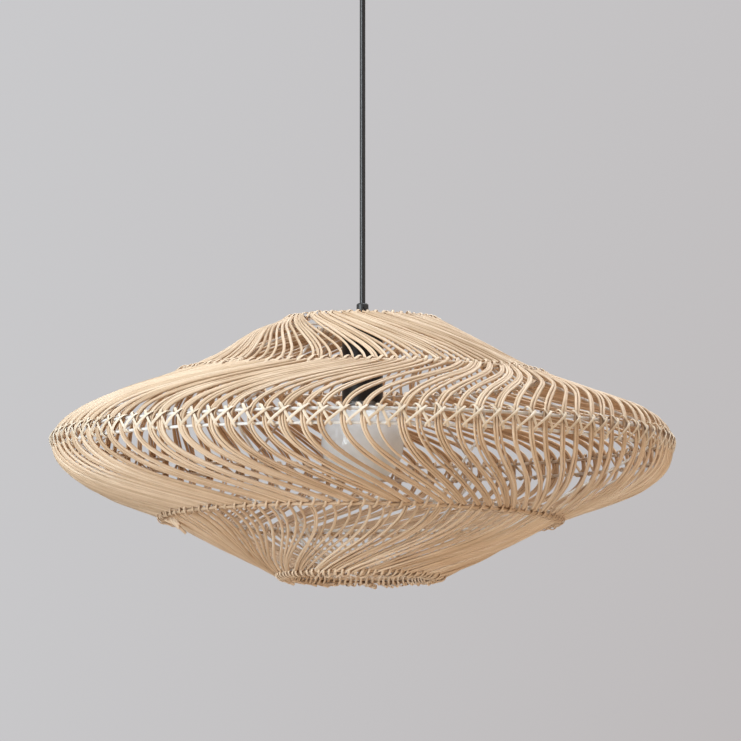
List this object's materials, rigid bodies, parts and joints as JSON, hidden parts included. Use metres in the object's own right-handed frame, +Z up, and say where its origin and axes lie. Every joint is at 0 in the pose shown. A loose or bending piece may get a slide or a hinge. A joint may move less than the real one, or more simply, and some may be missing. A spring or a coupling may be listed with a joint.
{
  "type": "pendant ceiling light",
  "caption": "Lens-shaped pendant light: a shade of swept rattan canes on a wire-hoop frame hangs with its lampholder and globe bulb on a straight cord from a round ceiling cup.",
  "frame": {"origin": "middle of the ceiling strap's screw pattern, on the ceiling plane", "axes": "+Z up into the ceiling, the light hangs towards -Z; +X along the strap; -Y is the front"},
  "size_m": [0.7, 0.7, 0.7321],
  "materials": {
    "black_metal": "satin black paint",
    "black_plastic": "fine matt black",
    "cord_sheath": "smooth black sheath",
    "core_insulation": "smooth coloured insulation",
    "plated_steel": "bright zinc plating",
    "white_wire": "white coating",
    "rattan": "natural, unvarnished",
    "rattan_binding": "natural, paler split cane",
    "brass": "plain brass",
    "nickel": "nickel plating",
    "white_ceramic": "white insulating body",
    "frosted_glass": "frosted, unlit",
    "board_white": "white board"
  },
  "bodies": {
    "ceiling": {"ceiling_strap": "plated_steel", "ceiling_cup": "black_metal", "cup_screws": "plated_steel", "cup_nipple": "plated_steel", "cup_nut": "plated_steel", "cup_cord_grip": "black_plastic", "cup_grip_screw": "black_plastic", "terminal_block": "white_ceramic", "terminal_screws": "plated_steel", "cup_cord_tail": "cord_sheath", "cup_cores": "core_insulation"},
    "cord": {"cord": "cord_sheath"},
    "lampholder": {"gland_body": "black_plastic", "gland_screw": "black_plastic", "nipple": "plated_steel", "nipple_nut": "plated_steel", "holder_cord_tail": "cord_sheath", "holder_cores": "core_insulation", "holder_cover": "black_metal", "holder_cap": "black_plastic", "holder_base": "white_ceramic", "holder_sleeve": "black_plastic", "thread_shell": "brass", "centre_contact": "brass", "holder_terminals": "brass"},
    "bulb": {"bulb_globe": "frosted_glass", "bulb_screw_cap": "nickel", "bulb_insulator": "black_plastic", "bulb_contact": "brass", "bulb_driver": "white_ceramic", "bulb_led_board": "board_white"},
    "shade": {"shade_carrier": "white_wire", "top_hoop": "white_wire", "upper_hoop": "white_wire", "girth_hoop_upper": "white_wire", "girth_hoop_lower": "white_wire", "lower_hoop": "white_wire", "bottom_hoop": "white_wire", "frame_stays": "white_wire", "canes_crown": "rattan", "canes_shoulder": "rattan", "canes_belly": "rattan", "canes_base": "rattan", "girth_lashing": "rattan_binding"}
  },
  "joints": [
    {"name": "cord_swing", "type": "hinge", "parent": "ceiling", "child": "cord", "pos_m": [0, 0, -0.0615], "axis": [1, 0, 0], "range_deg": [-40, 40]},
    {"name": "lamp_swing", "type": "hinge", "parent": "cord", "child": "lampholder", "pos_m": [0, 0, -0.4151], "axis": [0, 1, 0], "range_deg": [-20, 20]},
    {"name": "shade_turn", "type": "hinge", "parent": "lampholder", "child": "shade", "pos_m": [0, 0, -0.4418], "axis": [0, 0, 1], "continuous": true},
    {"name": "bulb_out", "type": "slide", "parent": "lampholder", "child": "bulb", "axis": [0, 0, -1], "range_m": [0, 0.25]}
  ]
}
